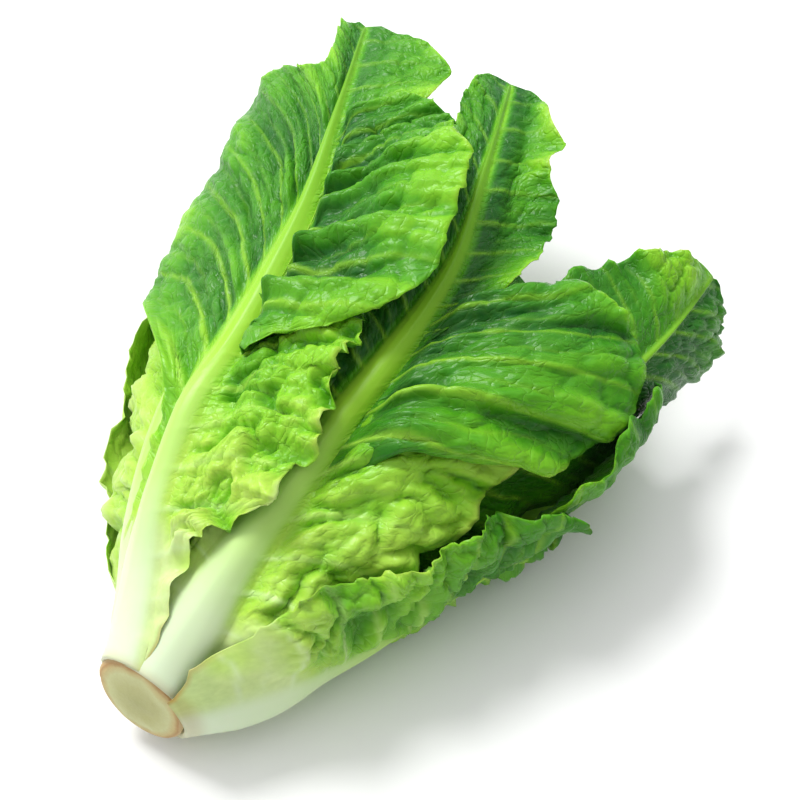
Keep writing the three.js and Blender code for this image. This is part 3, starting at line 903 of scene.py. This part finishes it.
def stem_material():
    material, tree, shader = new_material("cut_lettuce_stem")
    rim = add(tree, "ShaderNodeAttribute", {"attribute_name": "rim"}, {}, "Fac")
    where = add(tree, "ShaderNodeTexCoord", {}, {}, "Object")
    patch = add(tree, "ShaderNodeTexNoise", {}, {"Vector": where, "Scale": SAP_PATCHES, "Detail": 5.0}, "Fac")
    fibre = add(tree, "ShaderNodeTexNoise", {}, {"Vector": where, "Scale": FIBRES, "Detail": 3.0}, "Fac")
    centred = add(tree, "ShaderNodeMath", {"operation": "SUBTRACT"}, {0: patch, 1: 0.5})
    wander = add(tree, "ShaderNodeMath", {"operation": "MULTIPLY"}, {0: centred, 1: 0.22})
    to_rim = add(tree, "ShaderNodeMath", {"operation": "ADD"}, {0: rim, 1: wander})
    face = add(tree, "ShaderNodeValToRGB", {"stops": FLESH}, {"Fac": to_rim})
    share = add(tree, "ShaderNodeMath", {"operation": "MULTIPLY"}, {0: fibre, 1: 0.25})
    face = add(tree, "ShaderNodeMix", {"data_type": "RGBA", "blend_type": "MULTIPLY"},
               {0: share, 6: face, 7: linear(FIBRE_BROWN)}, 2)
    tree.links.new(face, shader.inputs["Base Color"])
    duller = add(tree, "ShaderNodeMath", {"operation": "MULTIPLY"}, {0: patch, 1: 0.2})
    gloss = add(tree, "ShaderNodeMath", {"operation": "ADD"}, {0: 0.5, 1: duller})
    tree.links.new(gloss, shader.inputs["Roughness"])
    bump = add(tree, "ShaderNodeBump", {}, {"Strength": 0.4, "Distance": 0.5 * MM, "Height": fibre})
    tree.links.new(bump, shader.inputs["Normal"])
    for socket, value in STEM_SOCKETS.items():
        shader.inputs[socket].default_value = value
    return material


cut_stem = stem_material()
print("material", cut_stem.name)

# %% [markdown]
# ## The cut stem: its shape
#
# The stem is a short cone with a slightly domed, slightly slanting face. A cylinder primitive with
# bevels would be too true, so it is a lathed profile whose rings are uneven by a few per cent.

# %% The cut stem
STEM_PROFILE = [(0.0, -0.6), (8, -0.5), (14, -0.2), (17, 0.1), (18.6, 0.7), (19.5, 1.8), (19.6, 3.4),
                (18.2, 6), (15.5, 14), (11, 30), (7, 46), (3, 58), (0.0, 60)]  # (radius, s)
CUT_SLANT = math.tan(math.radians(12))  # the knife leaned, so the face looks up a little
RINGS, AROUND = 90, 144


def stem_rings():
    """Radius, s and points of the lathed profile, from the centre of the face to the back."""
    knots = np.array(STEM_PROFILE, float)
    t = np.linspace(0, len(knots) - 1, RINGS)
    r = np.interp(t, np.arange(len(knots)), knots[:, 0])
    s = np.interp(t, np.arange(len(knots)), knots[:, 1])
    turn = np.linspace(0, 2 * np.pi, AROUND, endpoint=False)
    r, turn = np.meshgrid(r, turn, indexing="ij")
    s = np.repeat(s[:, None], AROUND, 1)
    uneven = 1 + 0.035 * noise(turn * 1.3 + 9, s / 30, 3) + 0.02 * np.sin(2 * turn + 0.7)
    dome = 0.35 * noise(r * np.cos(turn) / 5, r * np.sin(turn) / 5, 1) * smooth(19, 16, r)
    slant = CUT_SLANT * r * np.sin(turn) * (1 - smooth(3, 20, s))
    return r, s, place(s + dome + slant, turn, r * uneven)


def make_stem(material):
    r, s, points = stem_rings()
    rings = points[1:-1].reshape(-1, 3)
    ids = np.arange(len(rings)).reshape(-1, AROUND)
    following = np.roll(ids, -1, 1)
    front, back = len(rings), len(rings) + 1
    faces = quads(ids[:-1], following[:-1], following[1:], ids[1:]).tolist()
    faces += [[front, following[0, k], ids[0, k]] for k in range(AROUND)]
    faces += [[back, ids[-1, k], following[-1, k]] for k in range(AROUND)]
    vertices = np.concatenate([rings, points[0, :1], points[-1, :1]])
    rim = np.append(r[1:-1].ravel() / STEM_RADIUS, [0, 0])
    along = np.append(s[1:-1].ravel(), [0, STEM_PROFILE[-1][1]])
    piece = make_piece("cut_stem", vertices, faces, {"rim": rim, "along": along}, material)
    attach(piece, "root")
    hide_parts("stem")
    return piece


stem = make_stem(cut_stem)
print("stem", len(stem.data.polygons), "faces")

# %% [markdown]
# ## The heart
#
# The heart leaves are hidden but for their tips. Each stands on its own smaller shell, and each
# follows the last by the golden angle, as they grew. They could be copies of one leaf, but their
# tips show from the end of the head, so each is grown with a seed of its own.

# %% Heart leaves
HEART_LEAVES = 13
GOLDEN_ANGLE = math.radians(137.5)


def heart_table(n):
    """The table of one heart leaf, from the inmost and youngest to the outmost and oldest."""
    age = n / (HEART_LEAVES - 1)
    turn = n * GOLDEN_ANGLE
    start, end = 48 - 32 * age, 150 + 82 * age - 10 * math.sin(turn)
    s = np.linspace(start, end, 7)
    station = np.arange(7)
    gathered = (0.78 + 0.22 * np.minimum(1, station / 2)) * (1 - 0.1 * (station / 6) ** 3)
    radius = (0.14 + 0.58 * age) * shell_radius(s, turn + 0 * s) * gathered
    base, middle, tip = 5 + 5 * age, 16 + 26 * age, 10 + 14 * age
    width = [base, 1.1 * base, 0.6 * middle, 0.9 * middle, middle, 0.92 * middle, tip]
    side = {"width": width, "frill": [0.3, 0.8], "pucker": [0.4, 0.9], "ragged": 0.8}
    return {
        "reach": (start, end), "rib": 0.42 + 0.3 * age, "depth": 0.55, "at_stem": 9 + 6 * age, "gap": 0.9,
        "y": radius * math.cos(turn), "z": axis_height(s) + radius * math.sin(turn),
        "low": side, "high": dict(side, seed=4),
    }


for n in range(HEART_LEAVES):
    made = make_leaf(f"heart_leaf_{n + 1}", f"heart_leaf_{n + 1}", heart_table(n), heart_leaf, 3.0, 20 + n)
    print(made.name, len(made.data.polygons), "faces")

# %% [markdown]
# ## The outer leaves
#
# The outer leaves are the ones on view, so each has a table set one by one. `reach` is where it
# starts and ends along the head, `y` and `z` are the line of its rib, and `low` and `high` are its
# two sides: `width` of the blade, `lift` of the margin off the head, `bulge` of the middle, and how
# strong `pucker`, `frill` and `pleat` are. `tone` makes a part greener or paler.
#
# The order is from the inside of the head to the outside, as each leaf is laid on the last ones.
# The first lies under the middle of the head, just above the table. It is hidden, so its grid is
# coarse.

# %% The leaf under the middle
UNDER_MIDDLE = {
    "reach": (14, 250), "rib": 0.85, "at_stem": 15.5,
    "y": [1, 0, -2, -4, -6, -7, -8], "z": [12, 5.5, 3.5, 3, 3, 4, 6],
    "low": {"width": [10, 18, 34, 50, 56, 44, 16], "frill": [0, 0.5]},
    "high": {"width": [10, 18, 34, 50, 56, 44, 16], "frill": [0, 0.5], "seed": 3},
}


def make_outer(where, leaf, step, seed):
    made = make_leaf(f"{where}_leaf", f"leaf_{where}", leaf, outer_leaf, step, seed)
    print(made.name, len(made.data.polygons), "faces")


make_outer("under_middle", UNDER_MIDDLE, 2.4, 40)

# %% [markdown]
# ## The leaf at the right
#
# Its rib and tip show behind the big folded lobe. Each side has tones of its own, which paint light
# and shade: the side towards the table is painted dark, and the upper side is painted darker
# beside the lobe, both as painted shade, and lighter towards the tip, as painted sheen.

# %% The right leaf
RIGHT = {
    "reach": (10, 268), "rib": 0.6, "at_stem": 16.5, "tone": 0.06,
    "y": [-10, -31, -50, -69, -85, -93, -94], "z": [28, 44, 53, 58, 60, 58, 50],
    # the deeper tones are painted shade, beside the lobe and on the side towards the table; the paler tip of
    # the low side is painted sheen
    "low": {"width": [10, 14, 24, 34, 40, 34, 14], "pucker": [1.2, 1.0], "tone": [0, 0.2, 0.12, -0.15]},
    "high": {"width": [10, 14, 26, 34, 40, 34, 14], "lift": [0, 0, 0, 2, 4, 6, 2], "seed": 5,
             "tone": [0, 0.25, 0.35, 0.3]},
}
make_outer("right", RIGHT, 1.6, 43)

# %% [markdown]
# ## The leaf at the left
#
# Only its edge shows, past the top left leaf: strongly ruffled low down, and standing off the head,
# so its margin has a large lift and frill.

# %% The left leaf
LEFT = {
    "reach": (5, 240), "rib": 0.6, "at_stem": 17.0, "smooth_until": 14,
    "y": [14, 33, 48, 58, 68, 78, 84], "z": [31, 45, 55, 59, 60, 58, 54],
    "low": {"width": [(5, 12), (14, 18), (24, 24), (60, 25), (82, 30), (98, 40), (150, 44), (200, 34),
                      (240, 14)],
            "lift": [0, 13, 13, 12, 4, 0, 0], "frill": [1.4, 1.7, 1.3, 1, 1], "pucker": [1.6, 1.6, 1.0],
            "tone": [-0.06, -0.06, 0.1, 0.1]},
    "high": {"width": [10, 16, 20, 26, 30, 26, 14], "seed": 6, "pucker": [1.4, 1.4, 1]},
}
make_outer("left", LEFT, 1.6, 46)

# %% [markdown]
# ## The top leaf
#
# The top leaf has the strongest rib of the head. Its left side is narrow and mostly hidden. Its right
# side has three parts: a ruffled pale strip low down, a big lobe that folds out over the strip and
# over the leaves at the right, and the tip. The strip and the tip belong to the whole sheet, with
# the blade cut back to the rib between them, and the lobe is a sheet of its own.

# %% The top leaf
TOP = {
    # the blade beside the rib is painted a deeper green, as painted shade
    "reach": (4.5, 292), "rib": 1.0, "at_stem": 17.2, "smooth_until": 30, "rib_shade": 0.5,
    "rib_width": [16, 9.8, 7.6, 6.2, 4.0, 2.0, 0.9], "round_from": 0.95,
    "y": [-5, -8, -12, -15, -13, 1, 18], "z": [42, 60, 74, 80, 82, 82, 72],
    "low": {"width": [(6, 16), (60, 18), (92, 25), (150, 20), (200, 26), (250, 26), (280, 20), (292, 16)],
            # the deeper green in the middle of the low side is painted shade under the top left leaf's flap
            "frill": [0, 0.6], "pleat": [0, 0.8, 0.8, 0.4], "tone": [-0.2, 0.0, 0.3, 0.05, 0.0]},
    "high": {"width": [(4, 18), (28, 19), (37, 28), (50, 34), (65, 37), (80, 43), (92, 49), (98, 42),
                       (104, 11), (152, 8), (165, 14), (185, 24), (205, 27), (230, 26), (252, 22),
                       (258, 25), (275, 18), (292, 14)],
             "frill": [1.7, 1.7, 1.2, 0.5, 1, 1, 1], "pucker": [2.3, 2.4, 1.8, 0.6, 0.8, 0.8], "seed": 9,
             "sweep": [0, 0.9, 2.0, 1.5, 1.0, 0.85, 0.5], "tone": [-0.05, 0.02, 0.14, 0.1, 0.0, -0.08],
             "lift": [0, 3, 6, 8, 6, 0, 0, 0, -2, -2, 0, 0, 0],
             "bulge": [0, 2, 4, 5, 3, 0, 0, 0, -4, -6, -6, -3, 0]},
    "lobes": [{
        "side": 1, "reach": (88, 160), "sweep": [1.7, 1.7, 1.8, 2.0, 2.2, 2.5],
        "width": [(88, 8), (91, 24), (96, 42), (103, 51), (112, 57), (128, 58), (142, 52), (152, 42),
                  (160, 28)],
        "lift": [4, 18, 25, 26, 22, 15], "bulge": [3, 12, 13, 12, 10, 6], "pleat": [3.6, 4.2, 3.6, 2.2],
        "pucker": [0.9, 1.1, 1.1, 1.1], "frill": [1.0, 0.8, 0.8, 1.2], "seed": 12,
        "tone": [0.36, 0.34, 0.34], "ragged": 0.6, "margin": 0.14,
    }],
}
make_outer("top", TOP, 1.15, 49)

# %% [markdown]
# ## The leaf under the left side
#
# A plain leaf between the head's left side and the table. Nearly all of it is hidden, so the usual
# relief does.

# %% The leaf under the left side
UNDER_LEFT = {
    "reach": (8, 236), "rib": 0.9, "at_stem": 16.0,
    "y": [9, 28, 46, 60, 70, 76, 78], "z": [14, 9, 6, 7, 9, 12, 16],
    "low": {"width": [12, 20, 36, 48, 52, 40, 16], "frill": [0, 0.5]},
    "high": {"width": [12, 18, 28, 36, 40, 32, 14], "seed": 8},
}
make_outer("under_left", UNDER_LEFT, 2.0, 52)

# %% [markdown]
# ## The far right leaf
#
# This leaf is the dark green low down at the right, below the right leaf. It lies close to the
# head, so it has no lift, and its `tone` makes it a full green.

# %% The far right leaf
FAR_RIGHT = {
    "reach": (8, 208), "rib": 0.9, "at_stem": 16.4, "tone": 0.12,
    "y": [-10, -28, -45, -60, -72, -80, -86], "z": [15, 12, 9, 9, 12, 17, 22],
    "low": {"width": [10, 16, 26, 40, 52, 48, 26], "tone": [0.1, 0.25]},
    "high": {"width": [12, 18, 28, 36, 38, 30, 12], "seed": 7},
}
make_outer("far_right", FAR_RIGHT, 1.6, 55)

# %% [markdown]
# ## The low right leaf
#
# A short leaf with a broad white base and a strongly ruffled blade. Its margin makes the lower edge
# of the whole head, so its widths are set at many places. Near the stem it flares out, because a
# leaf as broad as this can't hug the head.

# %% The low right leaf
LOW_RIGHT = {
    "reach": (1.5, 150), "rib": 1.0, "at_stem": 18.5, "flare": 0.95, "tone": 0.02, "smooth_until": 34,
    "rib_width": [18, 17, 8, 2.4, 1.6, 1.2, 0.8],
    "y": [-22, -39, -48, -54, -60, -68, -76], "z": [20, 18, 18, 20, 23, 27, 31],
    "low": {"width": [(2, 22), (14, 32), (30, 41), (48, 39), (64, 34), (100, 30), (130, 22), (150, 9)],
            "lift": [0, 0, 1, 2, 3, 3, 0], "pucker": [1.8, 2.4, 2.0], "tone": [-0.08, 0.08, 0.38, 0.6],
            "frill": [1.2, 1.7, 1.7, 1.4], "pleat": [0, 1.5, 1.5]},
    "high": {"width": [(4, 17), (38, 18), (50, 26), (70, 32), (100, 40), (125, 38), (150, 16)], "seed": 10,
             "frill": [1.3, 1.8], "pucker": [1.8, 2.4, 2.0], "tone": [0.05, 0.12, 0.45],
             "lift": [0, 2, 8, 10, 6], "pleat": [0, 1.5, 1.5]},
}
make_outer("low_right", LOW_RIGHT, 1.15, 58)

# %% [markdown]
# ## The top left leaf
#
# This is the outmost and biggest leaf, so it is laid last. Its left side is a broad blade. Its
# right side is built like the top leaf's: a ruffled pale strip low down, a pleated flap that folds
# over to the right and half hides the leaves there, and the tip.

# %% The top left leaf
TOP_LEFT = {
    # the blade beside the rib is painted a deeper green, as painted shade
    "reach": (4.5, 286), "rib": 1.0, "at_stem": 17.4, "smooth_until": 42, "rib_shade": 0.3,
    "rib_width": [16, 7.4, 6.8, 7.4, 4.6, 1.9, 0.8], "round_from": 0.96,
    "y": [13, 27, 38, 44, 53, 68, 86], "z": [40, 57, 70, 76, 79, 79, 70],
    "low": {"width": [(6, 14), (50, 10), (88, 12), (98, 48), (110, 64), (130, 69), (165, 64), (185, 56),
                      (205, 44), (222, 28), (232, 20), (238, 16), (262, 20), (278, 19), (286, 9)],
            "sweep": [0, 0.7, 1.5, 1.9, 1.9, 1.4, 0.6], "lift": [0, 0, 4, 12, 12, 6, 0],
            "frill": [0.4, 0.6, 0.7, 0.8], "pucker": [0.8, 1.2, 1.2, 1.0], "pleat": [0, 2.4, 2.4, 1.6],
            "tone": [0, 0.08, 0.06, 0.0], "ragged": 0.7},
    "high": {"width": [(4, 18), (28, 17.5), (42, 19), (50, 31), (60, 42), (75, 43), (90, 44), (104, 47),
                       (120, 48), (130, 38), (134, 7), (218, 4), (226, 20), (240, 34), (262, 34),
                       (277, 24), (286, 14)],
             "lift": [0, 6, 12, 14, 10, 2, 0, 0, 0], "frill": [1.5, 1.5, 1.5, 0.6, 0.6, 0.6],
             "pucker": [2.2, 2.4, 2.2, 0.8, 0.8, 0.8], "seed": 13, "tone": [-0.02, -0.04, 0.16, 0, 0, 0]},
    "lobes": [{
        "side": 1, "reach": (118, 226), "seed": 14, "sweep": [0.5, 1.2, 1.6, 1.7, 1.4],
        "width": [(118, 8), (121, 22), (126, 40), (133, 50), (144, 55), (160, 54), (180, 50), (202, 42),
                  (214, 35), (226, 24)],
        "lift": [4, 20, 23, 23, 19, 10], "bulge": [2, 6, 6, 4, 2], "pleat": [3.8, 4.2, 3.6, 2.2],
        "pucker": [1.2, 1.3, 1.3, 1.1], "frill": [0.5, 0.4, 0.5, 0.8], "margin": 0.08,
        "tone": [0.4, 0.28, 0.18, 0.1], "ragged": 0.5,
    }],
}
make_outer("top_left", TOP_LEFT, 1.15, 61)

# %% [markdown]
# ## The table
#
# A matt white card, so large that its edges are far behind the head. Matt paint and card have a
# roughness near 0.9, and their white is a little below pure white.

# %% Table
bpy.ops.mesh.primitive_plane_add(size=6, location=(0, 0, 0))
table = bpy.context.object
table.name = "table"
white, _, white_shader = new_material("white_card")
white_shader.inputs["Base Color"].default_value = linear("#F6F6F6")
white_shader.inputs["Roughness"].default_value = 0.9
table.data.materials.append(white)
print("table", [round(side, 1) for side in table.dimensions], "m")

# %% [markdown]
# ## The light
#
# A big soft window stands behind the head and above it. An area light would leave the far table
# grey, so the window is a sun as wide as 22 degrees, which gives the same soft edge to every
# shadow. The white room round it is a world that glows more towards the window.

# %% Light
WINDOW = Vector((0.25, 0.75, 1.05)).normalized()
world = bpy.data.worlds.new("white_room")
world.use_nodes = True
room = world.node_tree
towards = add(room, "ShaderNodeTexCoord", {}, {}, "Generated")
facing = add(room, "ShaderNodeVectorMath", {"operation": "DOT_PRODUCT"},
             {0: towards, 1: tuple(WINDOW)}, "Value")
glow = add(room, "ShaderNodeMapRange", {"interpolation_type": "SMOOTHSTEP"},
           {"Value": facing, "From Min": 0.2, "From Max": 0.95, "To Min": 0.46, "To Max": 1.3})
room.links.new(glow, room.nodes["Background"].inputs["Strength"])
room.nodes["Background"].inputs["Color"].default_value = (1, 1, 1, 1)
bpy.context.scene.world = world

window = bpy.data.objects.new("window", bpy.data.lights.new("window", "SUN"))
window.data.energy = 2.35
window.data.angle = math.radians(22)
window.rotation_euler = WINDOW.to_track_quat("Z", "Y").to_euler()
bpy.context.scene.collection.objects.link(window)
bpy.context.scene.view_settings.view_transform = "Standard"
print("window", round(math.degrees(math.asin(WINDOW.z))), "degrees above the table")

# %% [markdown]
# ## The camera
#
# A long lens from nearly a metre away keeps the head's proportions true, where a short lens close
# by would swell its near end. The camera looks down at 60 degrees, from the stem's end and
# from its right.

# %% Camera
AZIMUTH, ELEVATION = math.radians(-57), math.radians(60)
DISTANCE = 0.88  # metres
AIM_RIGHT, AIM_UP = 0.0165, -0.0055  # metres, so that the whole head sits in the middle of the view
flat = math.cos(ELEVATION)
back = Vector((math.sin(AZIMUTH) * flat, -math.cos(AZIMUTH) * flat, math.sin(ELEVATION)))
right = Vector((math.cos(AZIMUTH), math.sin(AZIMUTH), 0))
up = back.cross(right)
middle_of_head = Vector(tuple((origin + np.array([150.0, 0.0, 45.0])) * MM))
aim = middle_of_head + right * AIM_RIGHT + up * AIM_UP
camera = bpy.data.objects.new("camera", bpy.data.cameras.new("camera"))
camera.data.lens = 100
camera.location = aim + back * DISTANCE
camera.rotation_euler = (-back).to_track_quat("-Z", "Y").to_euler()
bpy.context.scene.collection.objects.link(camera)
bpy.context.scene.camera = camera
print("camera at", [round(c, 3) for c in camera.location], "m")
